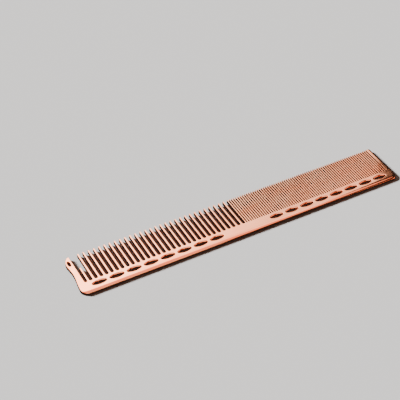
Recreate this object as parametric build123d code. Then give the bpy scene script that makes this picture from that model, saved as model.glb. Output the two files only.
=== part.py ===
from build123d import *
from math import sqrt
import os

os.makedirs("parts", exist_ok=True)

# A one-piece metal cutting comb, lying on its flat underside with the teeth pointing towards +Y.
# It is cut from a single plate. The nodes below are regions of that plate, which meet face to face.
# Layout datum while building: x = 0 on the first full coarse tooth, y = 0 on the line of guide holes.

# ---- Driving dimensions (mm) ----
thickness = 2.2             # plate

throat_length = 7.4         # eye-shaped straight middle of each guide hole
throat_height = 2.3
throat_tip_radius = 0.45
rim_radius = 0.80           # rounded rims of the guide holes, both faces
guide_pitch = 10.0          # one guide hole every centimetre
guide_count = 8             # in each of the two groups
guide_start = 6.98          # parting guard to the middle of the first guide hole
guide_end = 7.28            # middle of the last guide hole to the end guard

root_land = 0.95            # plain metal between the rims and the slot floors
roll_land = 0.15            # plain metal between the rims and the rolled back
roll_depth = 2.6            # the faces roll over towards the back edge across this
roll_drop = 0.75            # how much the roll takes off each face

tooth_length = 21.1         # slot floor to tooth tip
short_tooth_length = 11.2

coarse_pitch = 3.07
coarse_count = 30
coarse_root_width = 1.15
coarse_tip_width = 0.90

fine_pitch = 1.405
fine_count = 68
fine_root_width = 0.72
fine_tip_width = 0.60

guard_slot = 1.63           # slot between the parting guard and the short tooth
change_slot = 1.80          # slot between the last coarse tooth and the first fine one
end_slot = 0.72             # slot between the last fine tooth and the end guard

guard_width = 4.2           # parting guard where it leaves the spine
guard_waist_width = 3.05
guard_waist_drop = 12.5     # waist, flare and eye, measured down from the tips
guard_flare_width = 3.65
guard_flare_drop = 5.4
guard_nose_radius = 0.45
eye_width = 1.5             # small upright eye in the nose of the guard
eye_length = 3.9
eye_tip_radius = 0.45
eye_drop = 4.9
eye_rim_radius = 0.30

end_guard_width = 2.7
end_bevel_width = 1.2       # long bevel down the outside of the end guard
end_bevel_drop = 0.45
end_top_radius = 1.0
corner_radius = 3.6         # both lower corners in plan

web_step = 0.3              # rails and webs meet this far inside the throat's height
least_wall = 0.1            # what a rounded rim always leaves of the wall it is cut into
overcut = 1.0               # how far the cutting shapes run past the plate
flare_lean = 0.3            # slope of the guard's outline where it runs into the nose
flat_tolerance = 1e-4       # how level an edge has to be to count as lying on a face

# ---- Places that follow from them ----
rim = min(rim_radius, thickness / 2 - least_wall, (guide_pitch - throat_length) / 2 - least_wall)
slot_floor_y = throat_height / 2 + rim_radius + root_land
roll_y = -(throat_height / 2 + rim_radius + roll_land)
back_y = roll_y - roll_depth
tip_y = slot_floor_y + tooth_length
short_tip_y = slot_floor_y + short_tooth_length
web_y = throat_height / 2 - web_step

coarse_slot = coarse_pitch - coarse_root_width
tooth_base_y = slot_floor_y + max(coarse_slot, guard_slot, change_slot, end_slot) / 2

coarse_xs = [i * coarse_pitch for i in range(coarse_count)]
short_tooth_x = -coarse_pitch
first_fine_x = coarse_xs[-1] + coarse_root_width / 2 + change_slot + fine_root_width / 2
fine_xs = [first_fine_x + i * fine_pitch for i in range(fine_count)]
guard_x = short_tooth_x - coarse_root_width / 2 - guard_slot
end_guard_x = fine_xs[-1] + fine_root_width / 2 + end_slot
left_x = guard_x - guard_width
right_x = end_guard_x + end_guard_width

coarse_guide_xs = [guard_x + guide_start + i * guide_pitch for i in range(guide_count)]
fine_guide_xs = [end_guard_x - guide_end - i * guide_pitch for i in range(guide_count)]

middle_x = (left_x + right_x) / 2
middle_y = (back_y + tip_y) / 2


def prism(edges):
    """A closed outline in plan, as thick as the plate."""
    return extrude(make_face(edges), amount=thickness)


def slab(x_low, x_high, y_low, y_high):
    """A box of the plate's thickness between two x and two y lines."""
    middle = Pos((x_low + x_high) / 2, (y_low + y_high) / 2, thickness / 2)
    return middle * Box(x_high - x_low, y_high - y_low, thickness)


def rolled_bar(x_low, x_high, y_high):
    """The plate's section, with both faces rolled over towards the back edge, drawn out along X."""
    section = make_face([
        Line((y_high, thickness), (roll_y, thickness)),
        EllipticalCenterArc((roll_y, thickness - roll_drop), roll_depth, roll_drop, 90, arc_size=90),
        Line((back_y, thickness - roll_drop), (back_y, roll_drop)),
        EllipticalCenterArc((roll_y, roll_drop), roll_depth, roll_drop, 180, arc_size=90),
        Line((roll_y, 0), (y_high, 0)),
        Line((y_high, 0), (y_high, thickness)),
    ])
    on_edge = Plane(origin=(x_low, 0, 0), x_dir=(0, 1, 0), z_dir=(1, 0, 0))
    return extrude(on_edge * section, amount=x_high - x_low)


def corner_offcut(outer_x, inward):
    """What is cut off the plate outside a round lower corner. Inward is +1 or -1 along X."""
    corner_x = outer_x + inward * corner_radius
    corner_y = back_y + corner_radius
    x_low, x_high = sorted((corner_x, outer_x - inward * overcut))
    square = slab(x_low, x_high, back_y - overcut, corner_y)
    return square - Pos(corner_x, corner_y) * extrude(Circle(corner_radius), amount=thickness)


def eye_outline(length, height, tip_radius):
    """An eye along X: two long arcs that run smoothly into small round ends."""
    tip_x = length / 2 - tip_radius
    rise = height / 2
    long_radius = (tip_x ** 2 + rise ** 2 - tip_radius ** 2) / (2 * (rise - tip_radius))
    stretch = long_radius / (long_radius - tip_radius)
    meet_x = tip_x * stretch
    meet_y = (long_radius - rise) * (stretch - 1)
    return [
        ThreePointArc((-meet_x, meet_y), (0, rise), (meet_x, meet_y)),
        ThreePointArc((meet_x, meet_y), (length / 2, 0), (meet_x, -meet_y)),
        ThreePointArc((meet_x, -meet_y), (0, -rise), (-meet_x, -meet_y)),
        ThreePointArc((-meet_x, -meet_y), (-length / 2, 0), (-meet_x, meet_y)),
    ]


def round_rims(part, x_low, x_high, y_low, y_high, radius):
    """Round every edge of a hole where it meets the top or bottom face, inside a box in plan."""
    chosen = []
    for edge in part.edges():
        box = edge.bounding_box()
        level = box.max.Z - box.min.Z < flat_tolerance
        on_face = min(abs(box.min.Z), abs(box.min.Z - thickness)) < flat_tolerance
        inside_x = box.min.X > x_low and box.max.X < x_high
        inside_y = box.min.Y > y_low and box.max.Y < y_high
        if level and on_face and inside_x and inside_y:
            chosen.append(edge)
    return fillet(chosen, radius)


def slot_places():
    """Middle and width of every slot, from the parting guard to the end guard."""
    edges = [guard_x]
    for x in [short_tooth_x] + coarse_xs:
        edges += [x - coarse_root_width / 2, x + coarse_root_width / 2]
    for x in fine_xs:
        edges += [x - fine_root_width / 2, x + fine_root_width / 2]
    edges.append(end_guard_x)
    return [((low + high) / 2, high - low) for low, high in zip(edges[::2], edges[1::2])]


def slot_notch(x, width):
    """The rounded bottom of one slot, up past the line where the teeth start."""
    centre_y = slot_floor_y + width / 2
    straight = Pos(x, centre_y + tooth_length / 2) * Rectangle(width, tooth_length)
    return straight + Pos(x, centre_y) * Circle(width / 2)


def spine_plate():
    """The bar between the two guards, with its guide holes and the rounded slot bottoms."""
    plate = rolled_bar(guard_x, end_guard_x, tooth_base_y)
    notches = Sketch() + [slot_notch(x, width) for x, width in slot_places()]
    plate -= extrude(notches, amount=thickness)
    plate -= [corner_offcut(left_x, 1), corner_offcut(right_x, -1)]
    throat = prism(eye_outline(throat_length, throat_height, throat_tip_radius))
    plate -= [Pos(x, 0) * throat for x in coarse_guide_xs + fine_guide_xs]
    reach = throat_height / 2 + least_wall
    return round_rims(plate, guard_x, end_guard_x, -reach, reach, rim)


def tooth(x, root_width, tip_width, end_y):
    """One tapered tooth with a round tip, from the line where the teeth start to its tip."""
    round_y = end_y - tip_width / 2
    return prism([
        Line((x - root_width / 2, tooth_base_y), (x + root_width / 2, tooth_base_y)),
        Line((x + root_width / 2, tooth_base_y), (x + tip_width / 2, round_y)),
        ThreePointArc((x + tip_width / 2, round_y), (x, end_y), (x - tip_width / 2, round_y)),
        Line((x - tip_width / 2, round_y), (x - root_width / 2, tooth_base_y)),
    ])


def parting_guard():
    """The waisted left end, which ends in a hooked nose with a small upright eye."""
    corner_y = back_y + corner_radius
    waist = (guard_x - guard_waist_width, tip_y - guard_waist_drop)
    flare = (guard_x - guard_flare_width, tip_y - guard_flare_drop)
    nose = (guard_x - guard_nose_radius, tip_y - guard_nose_radius)
    leans = [(0, 1), (1, flare_lean)]
    plan = prism([
        Line((guard_x, back_y), (left_x, back_y)),
        Line((left_x, back_y), (left_x, corner_y)),
        Spline((left_x, corner_y), waist, flare, (nose[0], tip_y), tangents=leans),
        CenterArc(nose, guard_nose_radius, 0, 90),
        Line((guard_x, nose[1]), (guard_x, back_y)),
    ])
    guard = plan & rolled_bar(left_x - overcut, guard_x, tip_y + overcut)
    guard -= corner_offcut(left_x, 1)
    eye_x = guard_x - guard_flare_width / 2
    eye_y = tip_y - eye_drop
    eye = prism(eye_outline(eye_length, eye_width, eye_tip_radius))
    guard -= Pos(eye_x, eye_y) * Rot(0, 0, 90) * eye
    reach_x = eye_width / 2 + least_wall
    reach_y = eye_length / 2 + least_wall
    return round_rims(guard, eye_x - reach_x, eye_x + reach_x, eye_y - reach_y, eye_y + reach_y,
                      eye_rim_radius)


def end_guard():
    """The plain right end, bevelled down its outside and round at its corners."""
    top_x = right_x - end_top_radius
    top_y = tip_y - end_top_radius
    plan = prism([
        Line((end_guard_x, back_y), (right_x, back_y)),
        Line((right_x, back_y), (right_x, top_y)),
        CenterArc((top_x, top_y), end_top_radius, 0, 90),
        Line((top_x, tip_y), (end_guard_x, tip_y)),
        Line((end_guard_x, tip_y), (end_guard_x, back_y)),
    ])
    bevel_x = right_x - end_bevel_width
    section = make_face([
        Line((end_guard_x, 0), (bevel_x, 0)),
        Line((bevel_x, 0), (right_x, end_bevel_drop)),
        Line((right_x, end_bevel_drop), (right_x, thickness - end_bevel_drop)),
        Line((right_x, thickness - end_bevel_drop), (bevel_x, thickness)),
        Line((bevel_x, thickness), (end_guard_x, thickness)),
        Line((end_guard_x, thickness), (end_guard_x, 0)),
    ])
    from_tips = Plane(origin=(0, tip_y, 0), x_dir=(1, 0, 0), z_dir=(0, -1, 0))
    bevelled = extrude(from_tips * section, amount=tip_y - back_y)
    return (plan & bevelled & rolled_bar(end_guard_x, right_x, tip_y)) - corner_offcut(right_x, -1)


def export(name, shape):
    """Write one node, moved so that the comb's box stands centred over the origin."""
    shape = Pos(-middle_x, -middle_y) * shape
    shape.label = name
    export_step(shape, f"parts/{name}.step")


plate = spine_plate()
export("spine_back_rail", plate & slab(guard_x, end_guard_x, back_y, -web_y))
export("spine_root_rail", plate & slab(guard_x, end_guard_x, web_y, tooth_base_y))

# The strip between the rails falls apart at the guide holes: a block at each end, a long block
# between the two groups, and a web between each hole and the next.
strip = (plate & slab(guard_x, end_guard_x, -web_y, web_y)).solids()
strip.sort(key=lambda solid: solid.center().X)
export("spine_left_block", strip[0])
export("spine_middle_block", strip[guide_count])
export("spine_right_block", strip[-1])
export("guide_hole_webs", Compound(children=strip[1:guide_count] + strip[guide_count + 1:-1]))

coarse_teeth = [tooth(x, coarse_root_width, coarse_tip_width, tip_y) for x in coarse_xs]
fine_teeth = [tooth(x, fine_root_width, fine_tip_width, tip_y) for x in fine_xs]
export("coarse_teeth", Compound(children=coarse_teeth))
export("fine_teeth", Compound(children=fine_teeth))
export("short_tooth", tooth(short_tooth_x, coarse_root_width, coarse_tip_width, short_tip_y))
export("parting_guard", parting_guard())
export("end_guard", end_guard())
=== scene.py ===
import math

import bmesh
import bpy
from mathutils import Matrix, Vector
from mathutils.geometry import interpolate_bezier


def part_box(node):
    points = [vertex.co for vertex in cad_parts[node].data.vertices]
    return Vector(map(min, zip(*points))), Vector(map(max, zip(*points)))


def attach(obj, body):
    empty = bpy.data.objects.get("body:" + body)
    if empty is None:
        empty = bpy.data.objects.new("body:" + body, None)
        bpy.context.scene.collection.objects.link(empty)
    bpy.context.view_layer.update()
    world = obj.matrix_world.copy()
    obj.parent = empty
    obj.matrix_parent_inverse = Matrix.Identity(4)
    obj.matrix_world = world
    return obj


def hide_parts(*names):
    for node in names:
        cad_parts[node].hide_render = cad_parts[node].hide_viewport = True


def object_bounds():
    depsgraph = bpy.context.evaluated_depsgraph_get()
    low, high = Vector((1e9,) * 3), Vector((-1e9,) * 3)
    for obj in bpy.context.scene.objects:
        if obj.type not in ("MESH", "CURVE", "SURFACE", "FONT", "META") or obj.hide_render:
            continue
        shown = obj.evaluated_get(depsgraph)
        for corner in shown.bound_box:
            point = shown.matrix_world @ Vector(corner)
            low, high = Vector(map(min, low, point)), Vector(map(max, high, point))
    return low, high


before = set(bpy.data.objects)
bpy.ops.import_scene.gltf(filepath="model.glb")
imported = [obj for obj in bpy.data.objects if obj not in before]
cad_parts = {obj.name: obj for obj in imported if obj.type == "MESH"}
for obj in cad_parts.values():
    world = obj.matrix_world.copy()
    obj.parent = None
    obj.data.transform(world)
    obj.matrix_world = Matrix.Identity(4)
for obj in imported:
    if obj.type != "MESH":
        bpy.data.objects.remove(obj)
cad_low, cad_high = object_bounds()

# ---- The blank ----
# The comb is one piece of aluminium plate. The blank is cut with both lower corners round, and a
# little long at the tips, so that the rows of edges for the rolled back run out through them.

MM = 0.001
RIM_RADIUS = 0.16 * MM              # the small round on every cut edge
RIM_TURNS = (30, 60, 90)            # degrees of that round after each step
CORNER_RADIUS = 3.6 * MM
CORNER_STEPS = 18
ROLL_DEPTH = 2.6 * MM
END_BEVEL = 1.2 * MM
ROLL_ROWS = [0.34 * MM, 0.56 * MM, 0.85 * MM, END_BEVEL, 1.62 * MM, 2.1 * MM, ROLL_DEPTH]
TRIM = 8 * MM                       # extra length at the tips, cut off again
FACING = 0.9                        # how squarely a picked face or edge has to lie along Z

left_x, back_y, _ = cad_low
right_x, tip_y, thickness = cad_high
guard_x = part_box("parting_guard")[1].x
end_guard_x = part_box("end_guard")[0].x
corner_y = back_y + CORNER_RADIUS


def pick_faces(wanted):
    """Select only the faces whose middle and normal pass a test."""
    bpy.ops.mesh.select_mode(type="FACE")
    bpy.ops.mesh.select_all(action="DESELECT")
    mesh = bmesh.from_edit_mesh(bpy.context.edit_object.data)
    for face in mesh.faces:
        face.select_set(wanted(face.calc_center_bounds(), face.normal))
    bmesh.update_edit_mesh(bpy.context.edit_object.data)


def pick_edges(wanted):
    """Select only the edges whose middle and direction pass a test."""
    bpy.ops.mesh.select_mode(type="EDGE")
    bpy.ops.mesh.select_all(action="DESELECT")
    mesh = bmesh.from_edit_mesh(bpy.context.edit_object.data)
    for edge in mesh.edges:
        start, end = (v.co for v in edge.verts)
        edge.select_set(wanted((start + end) / 2, (end - start).normalized()))
    bmesh.update_edit_mesh(bpy.context.edit_object.data)


bpy.ops.object.select_all(action="DESELECT")
blank_high = Vector((right_x, tip_y + TRIM, thickness - RIM_RADIUS))
blank_low = Vector((left_x, back_y, RIM_RADIUS))
bpy.ops.mesh.primitive_cube_add(size=1, location=(blank_low + blank_high) / 2,
                                scale=blank_high - blank_low)
comb = bpy.context.object
comb.name = "cutting_comb"
comb.data.name = "cutting_comb"
bpy.ops.object.transform_apply(location=True, rotation=True, scale=True)

bpy.ops.object.mode_set(mode="EDIT")
pick_edges(lambda at, along: abs(along.z) > FACING and at.y < 0)
bpy.ops.mesh.bevel(offset=CORNER_RADIUS, segments=CORNER_STEPS, affect="EDGES")
for side in (1, -1):
    pick_faces(lambda at, normal: normal.z * side > FACING)
    row = 0
    for next_row in ROLL_ROWS:
        bpy.ops.mesh.inset(thickness=next_row - row, depth=0, use_even_offset=True)
        row = next_row
    pick_faces(lambda at, normal: normal.z * side > FACING and at.y > corner_y
               and at.x < right_x - END_BEVEL)
    bpy.ops.mesh.dissolve_faces()
bpy.ops.mesh.select_all(action="SELECT")
bpy.ops.mesh.bisect(plane_co=(0, tip_y, 0), plane_no=(0, 1, 0), clear_outer=True, use_fill=True)
bpy.ops.object.mode_set(mode="OBJECT")

# ---- The teeth ----
# The slots are cut clean through the plate, with full-round floors, and widen a little towards
# the mouth, which tapers the teeth. One short tooth stands in the wide gap beside the guard.

COARSE_COUNT = 30
FINE_COUNT = 68
COARSE_TIP = 0.90 * MM
FINE_TIP = 0.60 * MM
FINE_ROOT = 0.72 * MM
OVERCUT = 1 * MM                    # how far every cutter runs past the plate
FLOOR_STEPS = 12

coarse_low, coarse_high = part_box("coarse_teeth")
fine_low, fine_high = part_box("fine_teeth")
short_low, short_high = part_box("short_tooth")
coarse_root = short_high.x - short_low.x
coarse_pitch = (coarse_high.x - coarse_low.x - coarse_root) / (COARSE_COUNT - 1)
fine_pitch = (fine_high.x - fine_low.x - FINE_ROOT) / (FINE_COUNT - 1)
slot_floor_y = coarse_low.y - (coarse_pitch - coarse_root) / 2


def arc(centre, radius, start, turn, steps):
    """Points along an arc in plan. Angles are in degrees, anticlockwise from +X."""
    angles = [math.radians(start + turn * step / steps) for step in range(steps + 1)]
    return [(centre[0] + radius * math.cos(a), centre[1] + radius * math.sin(a)) for a in angles]


def flat_outline(name, points, level):
    """One flat face with the given outline in plan."""
    bpy.ops.object.select_all(action="DESELECT")
    bpy.ops.mesh.primitive_circle_add(vertices=len(points), fill_type="NGON")
    outline = bpy.context.object
    outline.name = name
    for vertex, (x, y) in zip(outline.data.vertices, points):
        vertex.co = (x, y, level)
    return outline


def straight_cutter(name, points):
    """A prism with the given outline, taller than the plate."""
    cutter = flat_outline(name, points, -OVERCUT)
    bpy.ops.object.mode_set(mode="EDIT")
    bpy.ops.mesh.select_all(action="SELECT")
    height = thickness + 2 * OVERCUT
    bpy.ops.mesh.extrude_region_move(TRANSFORM_OT_translate={"value": (0, 0, height)})
    bpy.ops.mesh.select_all(action="SELECT")
    bpy.ops.mesh.normals_make_consistent(inside=False)
    bpy.ops.object.mode_set(mode="OBJECT")
    return cutter


def repeat(cutter, count, step):
    """Copies of a cutter in a row along X, made part of its mesh."""
    row = cutter.modifiers.new("row", "ARRAY")
    row.count = count
    row.use_relative_offset = False
    row.use_constant_offset = True
    row.constant_offset_displace = (step, 0, 0)
    bpy.context.view_layer.objects.active = cutter
    bpy.ops.object.modifier_apply(modifier="row")
    return cutter


def cut(tools):
    """Join the cutters, take them out of the comb, and throw them away."""
    bpy.ops.object.select_all(action="DESELECT")
    for tool in tools:
        tool.select_set(True)
    bpy.context.view_layer.objects.active = tools[0]
    if len(tools) > 1:
        bpy.ops.object.join()
    cutting = comb.modifiers.new("cut", "BOOLEAN")
    cutting.operation = "DIFFERENCE"
    cutting.solver = "EXACT"
    cutting.object = tools[0]
    bpy.context.view_layer.objects.active = comb
    bpy.ops.object.modifier_apply(modifier="cut")
    bpy.data.objects.remove(tools[0])


def slot_outline(floor_left, floor_right, mouth_left, mouth_right):
    """A slot with a round floor, from its floor to past the tips."""
    half = (floor_right - floor_left) / 2
    centre = (floor_left + half, slot_floor_y + half)
    mouth_y = tip_y + OVERCUT
    floor = arc(centre, half, 180, 180, FLOOR_STEPS)
    return [(mouth_left, mouth_y)] + floor + [(mouth_right, mouth_y)]


coarse_taper = (coarse_root - COARSE_TIP) / 2
fine_taper = (FINE_ROOT - FINE_TIP) / 2
first_x = coarse_low.x + coarse_root
coarse_slots = straight_cutter("coarse_slots", slot_outline(
    first_x, first_x + coarse_pitch - coarse_root,
    first_x - coarse_taper, first_x + coarse_pitch - coarse_root + coarse_taper))
repeat(coarse_slots, COARSE_COUNT - 1, coarse_pitch)
first_x = fine_low.x + FINE_ROOT
fine_slots = straight_cutter("fine_slots", slot_outline(
    first_x, first_x + fine_pitch - FINE_ROOT,
    first_x - fine_taper, first_x + fine_pitch - FINE_ROOT + fine_taper))
repeat(fine_slots, FINE_COUNT - 1, fine_pitch)
change_slot = straight_cutter("change_slot", slot_outline(
    coarse_high.x, fine_low.x, coarse_high.x - coarse_taper, fine_low.x + fine_taper))
end_slot = straight_cutter("end_slot", slot_outline(
    fine_high.x, end_guard_x, fine_high.x - fine_taper, end_guard_x))

# The slots on both sides of the short tooth are one opening, which runs round its tip.
short_middle = (short_low.x + short_high.x) / 2
short_radius = COARSE_TIP / 2
left_slot = slot_outline(guard_x, short_low.x, guard_x, short_middle)
right_slot = slot_outline(short_high.x, coarse_low.x, short_middle, coarse_low.x + coarse_taper)
short_tip = arc((short_middle, short_high.y - short_radius), short_radius, 180, -180, FLOOR_STEPS)
short_slots = straight_cutter("short_slots", left_slot[:-1] + short_tip + right_slot[1:])

cut([coarse_slots, fine_slots, change_slot, end_slot, short_slots])

# ---- The two guards ----
# The left guard is waisted, swells again and ends in a hooked nose. The right one is plain, with
# a small round corner. Both are what the cutters leave standing outside the outer teeth.

WAIST_WIDTH = 2.99 * MM             # of the left guard, at its waist and where it flares again
FLARE_WIDTH = 3.63 * MM
WAIST_DROP = 12.6 * MM              # the same two places, measured down from the tips
FLARE_DROP = 5.4 * MM
FOOT_OUT = 0.02 * MM                # the outline starts just outside the plate, below the corner
FOOT_DROP = 0.3 * MM
FOOT_BEND = 5                       # millimetres each bend of the outline reaches up and down
WAIST_BEND = 2.4
FLARE_BEND = 2.3
NOSE_BEND = Vector((1.47 * MM, 0.4 * MM, 0))
NOSE_RADIUS = 0.45 * MM
NOSE_STEPS = 6
NOSE_CLEAR = 0.2 * MM               # the cut runs this far into the slot beside the nose
END_TOP_RADIUS = 1.0 * MM
END_TOP_STEPS = 8
GUARD_STEPS = 14

waist = Vector((guard_x - WAIST_WIDTH, tip_y - WAIST_DROP, 0))
flare = Vector((guard_x - FLARE_WIDTH, tip_y - FLARE_DROP, 0))
nose = Vector((guard_x - NOSE_RADIUS, tip_y, 0))
foot = Vector((left_x - FOOT_OUT, corner_y - FOOT_DROP, 0))
up = Vector((0, 1 * MM, 0))
guard_side = []
for start, start_bend, end_bend, end in ((foot, FOOT_BEND * up, FOOT_BEND * up, waist),
                                         (waist, WAIST_BEND * up, WAIST_BEND * up, flare),
                                         (flare, FLARE_BEND * up, NOSE_BEND, nose)):
    guard_side += interpolate_bezier(start, start + start_bend, end - end_bend, end,
                                     GUARD_STEPS)[:-1]
outside = left_x - 3 * OVERCUT
slot_side = guard_x + NOSE_CLEAR
guard_outline = [(point.x, point.y) for point in guard_side]
guard_outline += arc((nose.x, tip_y - NOSE_RADIUS), NOSE_RADIUS, 90, -90, NOSE_STEPS)
guard_outline += [(slot_side, tip_y - NOSE_RADIUS), (slot_side, tip_y + OVERCUT)]
guard_outline += [(outside, tip_y + OVERCUT), (outside, foot.y)]
guard_form = straight_cutter("guard_form", guard_outline)

corner_middle = (right_x - END_TOP_RADIUS, tip_y - END_TOP_RADIUS)
corner_outline = arc(corner_middle, END_TOP_RADIUS, 90, -90, END_TOP_STEPS)
corner_outline += [(right_x + OVERCUT, corner_middle[1]), (right_x + OVERCUT, tip_y + OVERCUT),
                   (corner_middle[0], tip_y + OVERCUT)]
corner_form = straight_cutter("corner_form", corner_outline)
cut([guard_form, corner_form])

# ---- The tooth tips and the cut edges ----
# Every tip is ground to a half round. All cut edges are then broken with the same small radius,
# on both faces, so that the teeth glide over the skin.

TIP_SHARE = 0.90                    # of the half width, so that the two rounds don't quite meet
TIP_STEPS = 6
NEAR = 0.01 * MM                    # slack when the edges at the tips are picked

bpy.ops.object.mode_set(mode="EDIT")
for tip_low, tip_high, width in ((coarse_low.x, coarse_high.x, COARSE_TIP),
                                 (fine_low.x, fine_high.x, FINE_TIP)):
    pick_edges(lambda at, along: abs(along.z) > FACING and abs(at.y - tip_y) < NEAR
               and tip_low - NEAR < at.x < tip_high + NEAR)
    bpy.ops.mesh.bevel(offset=TIP_SHARE * width / 2, segments=TIP_STEPS, affect="EDGES",
                       clamp_overlap=False)
for side in (1, -1):
    pick_faces(lambda at, normal: normal.z * side > FACING)
    turned = 0
    for turn in RIM_TURNS:
        inward = RIM_RADIUS * (math.cos(math.radians(turned)) - math.cos(math.radians(turn)))
        outward = RIM_RADIUS * (math.sin(math.radians(turn)) - math.sin(math.radians(turned)))
        bpy.ops.mesh.inset(thickness=inward, depth=0, use_even_offset=True)
        bpy.ops.transform.translate(value=(0, 0, outward * side))
        turned = turn
bpy.ops.object.mode_set(mode="OBJECT")

# ---- The rolled back ----
# Both faces roll over towards the back edge, which fits the palm. The roll dies out round the
# corner below the guard, and narrows round the other corner to a bevel up the end.

ROLL_DROP = 0.75 * MM
END_DROP = 0.45 * MM


def roll_at(x, y):
    """How much lower the top face lies at a place in plan, because of the roll."""
    turn = 0
    depth, drop = ROLL_DEPTH, ROLL_DROP
    from_edge = y - back_y
    on_left = x < left_x + CORNER_RADIUS
    on_right = x > right_x - CORNER_RADIUS
    if y > corner_y and on_right:
        from_edge = right_x - x
        turn = 1
    elif y < corner_y and (on_left or on_right):
        centre_x = left_x + CORNER_RADIUS if on_left else right_x - CORNER_RADIUS
        from_edge = CORNER_RADIUS - math.hypot(x - centre_x, y - corner_y)
        turn = math.atan2(abs(x - centre_x), corner_y - y) / (math.pi / 2)
    ease = turn * turn * (3 - 2 * turn)
    end_depth, end_drop = (ROLL_DEPTH, 0) if on_left else (END_BEVEL, END_DROP)
    depth += (end_depth - depth) * ease
    drop += (end_drop - drop) * ease
    reach = min(1, max(0, 1 - from_edge / depth))
    return drop * (1 - math.sqrt(1 - reach * reach))


middle_z = thickness / 2
for vertex in comb.data.vertices:
    squeeze = 1 - roll_at(vertex.co.x, vertex.co.y) / middle_z
    vertex.co.z = middle_z + (vertex.co.z - middle_z) * squeeze

# ---- The guide holes ----
# Sixteen eye-shaped holes, one every centimetre in two groups of eight, guide a sectioning pin.
# Both of their rims are well rounded. The eye in the nose of the guard hangs the comb on a pin.

GUIDE_COUNT = 8
GUIDE_PITCH = 10 * MM
GUIDE_LENGTH = 7.4 * MM
GUIDE_HEIGHT = 2.3 * MM
GUIDE_TIP = 0.45 * MM
GUIDE_RIM = 0.80 * MM
GUIDE_RIM_STEPS = 9
GUIDE_LINE = 4.7 * MM               # the line of holes, up from the back edge
GUIDE_START = 7.0 * MM              # parting guard to the first hole's middle
GUIDE_END = 7.28 * MM               # last hole's middle to the end guard
EYE_LENGTH = 3.9 * MM
EYE_HEIGHT = 1.5 * MM
EYE_TIP = 0.45 * MM
EYE_RIM = 0.30 * MM
EYE_RIM_STEPS = 5
EYE_IN = 1.82 * MM                  # the eye's middle, in from the guard's straight side
EYE_DROP = 4.9 * MM                 # and down from the tips
LONG_ARC_STEPS = 16
END_ARC_STEPS = 10
SAME_POINT = 0.001 * MM
LIFT = 0.004 * MM                   # the round starts this far above the face, to cut it cleanly


def eye_points(length, height, tip, grow, upright):
    """An eye of two long arcs and two small round ends, grown evenly all round."""
    tip_x = length / 2 - tip
    rise = height / 2
    long_radius = (tip_x ** 2 + rise ** 2 - tip ** 2) / (2 * (rise - tip))
    sweep = math.degrees(math.atan2(tip_x, long_radius - rise))
    long_middle = (0, rise - long_radius)
    long_arc = arc(long_middle, long_radius + grow, 90 + sweep, -2 * sweep, LONG_ARC_STEPS)
    end_arc = arc((tip_x, 0), tip + grow, 90 - sweep, 2 * sweep - 180, END_ARC_STEPS)
    points = long_arc + end_arc[1:-1]
    points += [(-x, -y) for x, y in points]
    return [(-y, x) for x, y in points] if upright else points


def rimmed_cutter(name, points, rim, steps):
    """A cutter that is widest at the faces and straight in the middle of the plate."""
    cutter = flat_outline(name, points, middle_z + OVERCUT)
    bpy.ops.object.mode_set(mode="EDIT")
    bpy.ops.mesh.select_all(action="SELECT")
    bpy.ops.mesh.extrude_region_move(TRANSFORM_OT_translate={"value": (0, 0, LIFT - OVERCUT)})
    for step in range(steps):
        here, there = (math.radians(90 * s / steps) for s in (step, step + 1))
        bpy.ops.mesh.inset(thickness=rim * (math.sin(there) - math.sin(here)), use_even_offset=True)
        bpy.ops.transform.translate(value=(0, 0, rim * (math.cos(there) - math.cos(here))))
    wall = middle_z - rim + LIFT
    bpy.ops.mesh.extrude_region_move(TRANSFORM_OT_translate={"value": (0, 0, -wall)})
    bpy.ops.mesh.delete(type="FACE")
    bpy.ops.object.mode_set(mode="OBJECT")
    halves = cutter.modifiers.new("halves", "MIRROR")
    halves.use_axis = (False, False, True)
    halves.merge_threshold = SAME_POINT
    bpy.ops.object.modifier_apply(modifier="halves")
    bpy.ops.object.mode_set(mode="EDIT")
    bpy.ops.mesh.select_all(action="SELECT")
    bpy.ops.mesh.remove_doubles(threshold=SAME_POINT)
    bpy.ops.mesh.normals_make_consistent(inside=False)
    bpy.ops.object.mode_set(mode="OBJECT")
    return cutter


def place(cutter, x, y):
    """Move a cutter's mesh to its place in plan, at half the plate's height."""
    cutter.data.transform(Matrix.Translation((x, y, middle_z)))
    return cutter


guide_y = back_y + GUIDE_LINE
guide_points = eye_points(GUIDE_LENGTH, GUIDE_HEIGHT, GUIDE_TIP, GUIDE_RIM, False)
holes = []
for name, first_x, step in (("coarse_guides", guard_x + GUIDE_START, GUIDE_PITCH),
                            ("fine_guides", end_guard_x - GUIDE_END, -GUIDE_PITCH)):
    guide = place(rimmed_cutter(name, guide_points, GUIDE_RIM, GUIDE_RIM_STEPS), first_x, guide_y)
    holes.append(repeat(guide, GUIDE_COUNT, step))
nose_points = eye_points(EYE_LENGTH, EYE_HEIGHT, EYE_TIP, EYE_RIM, True)
nose_eye = rimmed_cutter("nose_eye", nose_points, EYE_RIM, EYE_RIM_STEPS)
holes.append(place(nose_eye, guard_x - EYE_IN, tip_y - EYE_DROP))
cut(holes)

# ---- The finish ----
# Polished plate, anodised rose gold. Fine brushing runs along the comb, with a few stray hairline
# scratches, softly uneven polish, and rims from which the colour has worn a little.

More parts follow.
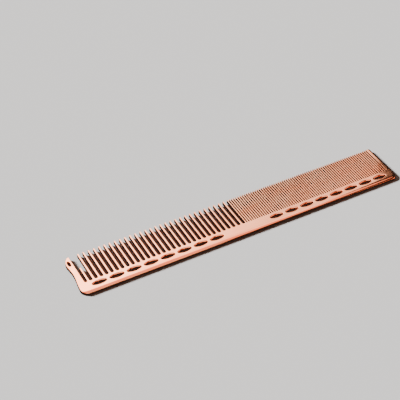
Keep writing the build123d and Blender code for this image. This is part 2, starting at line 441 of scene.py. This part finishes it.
PLATE_COLOUR = (0.96, 0.34, 0.19, 1)
PALE_COLOUR = (0.97, 0.43, 0.28, 1)
BRUSHED_COLOUR = (0.90, 0.27, 0.145, 1)
WORN_COLOUR = (0.95, 0.62, 0.48, 1)
BRUSHING_SHARE = 0.40               # the most that each takes of the colour beneath it
SCRATCH_SHARE = 0.55
WEAR_SHARE = 0.45
ROUGHNESS = (0.05, 0.10)            # from the best to the worst polished places
BRUSHING_ROUGHNESS = 0.015
SCRATCH_ROUGHNESS = 0.14
GRAIN_DEPTH = 0.001 * MM
GRAIN_STRENGTH = 0.35
BRUSHING_SCALE = (90, 5200, 900)    # how often each pattern changes in a metre of X, Y and Z
CLOUDING_SCALE = (55, 110, 110)
SCRATCHES = [((60, 4200, 60), 24, 0.735), ((80, 3600, 80), -51, 0.740)]   # scale, turn, level
SCRATCH_FADE = 0.03                 # of the noise, from no scratch to a full one
NOISE_LOW, NOISE_HIGH = 0.3, 0.7    # nearly all of the noise lies between these
CORE_LOW, CORE_HIGH = 0.35, 0.65    # and most of it between these
WEAR_START = 0.25                   # flatter places than this are never worn
WEAR_LEAST = 0.3                    # of the wear that is left where it is patchy
NORMAL_WEIGHT = 80
CLEANUP = 0.0005 * MM               # points nearer to each other than this become one

bpy.ops.object.select_all(action="DESELECT")
comb.select_set(True)
bpy.context.view_layer.objects.active = comb
bpy.ops.object.mode_set(mode="EDIT")
bpy.ops.mesh.select_all(action="SELECT")
bpy.ops.mesh.remove_doubles(threshold=CLEANUP)
bpy.ops.mesh.normals_make_consistent(inside=False)
bpy.ops.object.mode_set(mode="OBJECT")
bpy.ops.object.shade_smooth()
weighted = comb.modifiers.new("weighted", "WEIGHTED_NORMAL")
weighted.mode = "FACE_AREA"
weighted.weight = NORMAL_WEIGHT
bpy.ops.object.modifier_apply(modifier="weighted")

# How sharply the metal turns at each vertex, which is where fingers and cloths rub it bare.
wear = comb.data.attributes.new("wear", "FLOAT", "POINT")
steepest = [0.0] * len(comb.data.vertices)
shape = bmesh.new()
shape.from_mesh(comb.data)
for vertex in shape.verts:
    turns = [edge.calc_face_angle_signed(0) / edge.calc_length() for edge in vertex.link_edges
             if edge.calc_length() > 0]
    steepest[vertex.index] = max(0.0, min(1.0, max(turns, default=0) * RIM_RADIUS))
shape.free()
wear.data.foreach_set("value", steepest)

plate = bpy.data.materials.new("rose_gold_plate")
plate.use_nodes = True
nodes = plate.node_tree.nodes
links = plate.node_tree.links
shader = nodes["Principled BSDF"]
shader.inputs["Metallic"].default_value = 1.0
position = nodes.new("ShaderNodeTexCoord").outputs["Object"]


def streaks(scale, turn, detail):
    """Noise drawn out along one direction in plan."""
    stretch = nodes.new("ShaderNodeMapping")
    stretch.inputs["Rotation"].default_value = (0, 0, math.radians(turn))
    stretch.inputs["Scale"].default_value = scale
    links.new(position, stretch.inputs["Vector"])
    noise = nodes.new("ShaderNodeTexNoise")
    noise.inputs["Scale"].default_value = 1.0
    noise.inputs["Detail"].default_value = detail
    links.new(stretch.outputs["Vector"], noise.inputs["Vector"])
    return noise.outputs["Fac"]


def remap(value, from_low, from_high, to_low, to_high):
    """A value moved from one range to another and held inside it."""
    tree = value.id_data
    mapping = tree.nodes.new("ShaderNodeMapRange")
    for name, number in zip(("From Min", "From Max", "To Min", "To Max"),
                            (from_low, from_high, to_low, to_high)):
        mapping.inputs[name].default_value = number
    tree.links.new(value, mapping.inputs["Value"])
    return mapping.outputs["Result"]


def combine(operation, first, second):
    """Two values, or a value and a number, put together by one operation."""
    maths = nodes.new("ShaderNodeMath")
    maths.operation = operation
    for socket, value in zip(maths.inputs, (first, second)):
        if isinstance(value, float):
            socket.default_value = value
        else:
            links.new(value, socket)
    return maths.outputs["Value"]


def blend(share, first, second):
    """One colour giving way to another."""
    mix = nodes.new("ShaderNodeMix")
    mix.data_type = "RGBA"
    links.new(share, mix.inputs["Factor"])
    colour_inputs = [socket for socket in mix.inputs if socket.type == "RGBA"]
    for socket, colour in zip(colour_inputs, (first, second)):
        if isinstance(colour, tuple):
            socket.default_value = colour
        else:
            links.new(colour, socket)
    return next(socket for socket in mix.outputs if socket.type == "RGBA")


brushing = streaks(BRUSHING_SCALE, 0, 3.0)
clouding = streaks(CLOUDING_SCALE, 0, 2.0)
scratch_sets = [remap(streaks(scale, turn, 1.0), level, level + SCRATCH_FADE, 0.0, 1.0)
                for scale, turn, level in SCRATCHES]
scratches = combine("MAXIMUM", *scratch_sets)

worn = nodes.new("ShaderNodeAttribute")
worn.attribute_name = "wear"
bare = combine("MULTIPLY", remap(worn.outputs["Fac"], WEAR_START, 1.0, 0.0, WEAR_SHARE),
               remap(clouding, CORE_LOW, CORE_HIGH, WEAR_LEAST, 1.0))
bare = combine("MAXIMUM", bare, combine("MULTIPLY", scratches, SCRATCH_SHARE))
colour = blend(remap(clouding, NOISE_LOW, NOISE_HIGH, 0.0, 1.0), PLATE_COLOUR, PALE_COLOUR)
brushed = remap(brushing, CORE_LOW, CORE_HIGH, 0.0, BRUSHING_SHARE)
colour = blend(brushed, colour, BRUSHED_COLOUR)
links.new(blend(bare, colour, WORN_COLOUR), shader.inputs["Base Color"])

polish = remap(clouding, NOISE_LOW, NOISE_HIGH, *ROUGHNESS)
ridges = remap(brushing, NOISE_LOW, NOISE_HIGH, -BRUSHING_ROUGHNESS, BRUSHING_ROUGHNESS)
polish = combine("ADD", polish, ridges)
polish = combine("ADD", polish, combine("MULTIPLY", scratches, SCRATCH_ROUGHNESS))
links.new(polish, shader.inputs["Roughness"])

grain = combine("SUBTRACT", brushing, scratches)
bump = nodes.new("ShaderNodeBump")
bump.inputs["Strength"].default_value = GRAIN_STRENGTH
bump.inputs["Distance"].default_value = GRAIN_DEPTH
links.new(grain, bump.inputs["Height"])
links.new(bump.outputs["Normal"], shader.inputs["Normal"])

comb.data.materials.clear()
comb.data.materials.append(plate)

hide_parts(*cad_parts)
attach(comb, "root")

# ---- The table it lies on ----
# A plain pale studio table, which the polished metal doesn't mirror.

TABLE_SIZE = 6
TABLE_COLOUR = (0.30, 0.295, 0.29, 1)
TABLE_ROUGHNESS = 0.8

bpy.ops.object.select_all(action="DESELECT")
bpy.ops.mesh.primitive_plane_add(size=TABLE_SIZE, location=(0, 0, 0))
table = bpy.context.object
table.name = "table_top"
table.visible_glossy = False
table_paint = bpy.data.materials.new("pale_table")
table_paint.use_nodes = True
table_shader = table_paint.node_tree.nodes["Principled BSDF"]
table_shader.inputs["Base Color"].default_value = TABLE_COLOUR
table_shader.inputs["Roughness"].default_value = TABLE_ROUGHNESS
table.data.materials.append(table_paint)

# ---- The lights and the camera ----
# The metal mirrors four soft panels: one behind, whose right edge shows at the far end of the
# comb, one overhead, one behind the camera and one on the right. A low sun lights the table alone.

PANEL_DISTANCE = 1.2
BEHIND_SIDES = (0.308, 0.865, -0.396)   # the way the right edges of the rear panels run
UPRIGHT = (0, 0, 1)
PALE_LIGHT = (1.0, 0.92, 0.76)
AMBER_LIGHT = (1.0, 0.50, 0.33)
CREAM_LIGHT = (1.0, 0.80, 0.62)
COPPER_LIGHT = (1.0, 0.42, 0.25)
FADE = (0.12, 0.72, 1.0, 0.28)      # shares of the rear panel's width, and its glow at them
SUN_PLACE = (-1.1, 0.9, 0.85)
SUN_POWER = 23.0
SUN_WIDTH = 15                      # degrees
ROOM_COLOUR = (1.0, 0.95, 0.92, 1)
ROOM_GLOW = 0.04


def soft_panel(name, toward, along, wide, high, glow, tint):
    """A panel that faces the comb, in a given direction. Its half angles are in degrees."""
    back = Vector(toward).normalized()
    side = Vector(along).cross(back).normalized()
    upward = back.cross(side)
    width, height = (2 * PANEL_DISTANCE * math.tan(math.radians(half)) for half in (wide, high))
    bpy.ops.object.light_add(type="AREA", location=PANEL_DISTANCE * back)
    panel = bpy.context.object
    panel.name = name
    panel.rotation_euler = Matrix((side, upward, back)).transposed().to_euler()
    panel.visible_diffuse = False
    panel.data.shape = "RECTANGLE"
    panel.data.size = width
    panel.data.size_y = height
    panel.data.energy = glow * math.pi * width * height
    panel.data.color = tint
    return panel


back_panel = soft_panel("back_panel", (0.317, 0.619, 0.718), BEHIND_SIDES, 15.6, 15, 8.5,
                        PALE_LIGHT)
soft_panel("overhead_panel", (-0.10, 0.20, 0.97), BEHIND_SIDES, 38, 24, 2.0, AMBER_LIGHT)
soft_panel("front_panel", (-0.062, -0.704, 0.707), UPRIGHT, 25, 20, 2.6, CREAM_LIGHT)
soft_panel("side_panel", (0.76, -0.43, 0.48), UPRIGHT, 16, 14, 2.8, COPPER_LIGHT)

# The rear panel is lit from its left, and fades towards its right edge.
back_panel.data.use_nodes = True
glow_tree = back_panel.data.node_tree
across = glow_tree.nodes.new("ShaderNodeSeparateXYZ")
panel_place = glow_tree.nodes.new("ShaderNodeNewGeometry").outputs["Parametric"]
glow_tree.links.new(panel_place, across.inputs["Vector"])
fade = remap(across.outputs["X"], *FADE)
glow_tree.links.new(fade, glow_tree.nodes["Emission"].inputs["Strength"])

bpy.ops.object.light_add(type="SUN", location=SUN_PLACE)
table_light = bpy.context.object
table_light.name = "table_light"
table_light.visible_glossy = False
table_light.data.energy = SUN_POWER
table_light.data.angle = math.radians(SUN_WIDTH)
table_light.rotation_euler = table_light.location.to_track_quat("Z", "Y").to_euler()

room = bpy.data.worlds.new("room")
bpy.context.scene.world = room
room.use_nodes = True
room.node_tree.nodes["Background"].inputs["Color"].default_value = ROOM_COLOUR
room.node_tree.nodes["Background"].inputs["Strength"].default_value = ROOM_GLOW

CAMERA_PLACE = Vector((-0.2353, -0.3728, 0.4048))
CAMERA_AIM = Vector((-0.0118, 0.0215, 0.0022))
CAMERA_ROLL = math.radians(1.0)
CAMERA_LENS = 97
CAMERA_SENSOR = 36

bpy.ops.object.camera_add(location=CAMERA_PLACE)
camera = bpy.context.object
camera.name = "camera"
camera.data.lens = CAMERA_LENS
camera.data.sensor_width = CAMERA_SENSOR
level = (CAMERA_AIM - CAMERA_PLACE).to_track_quat("-Z", "Y").to_matrix()
camera.rotation_euler = (level @ Matrix.Rotation(CAMERA_ROLL, 3, "Z")).to_euler()
bpy.context.scene.camera = camera
